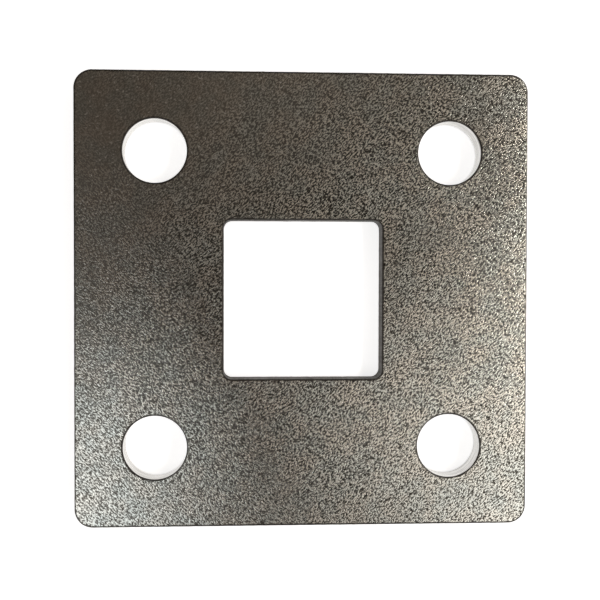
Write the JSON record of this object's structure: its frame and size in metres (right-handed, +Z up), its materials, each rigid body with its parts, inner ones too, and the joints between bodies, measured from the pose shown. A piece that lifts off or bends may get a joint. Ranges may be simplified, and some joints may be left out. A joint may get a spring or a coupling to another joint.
{
  "type": "square cover plate",
  "caption": "Flat square steel cover plate with rounded corners, a square opening in the middle for a tube or post, and a round bolt hole near each corner.",
  "frame": {"origin": "middle of the square opening, on the underside", "axes": "+Z up through the plate, along the bolts; +X and +Y along the sides of the plate"},
  "size_m": [0.1, 0.1, 0.006],
  "materials": {
    "steel": "bare rolled steel, finely pitted, dull"
  },
  "bodies": {
    "root": {"cover_plate": "steel"}
  },
  "joints": []
}
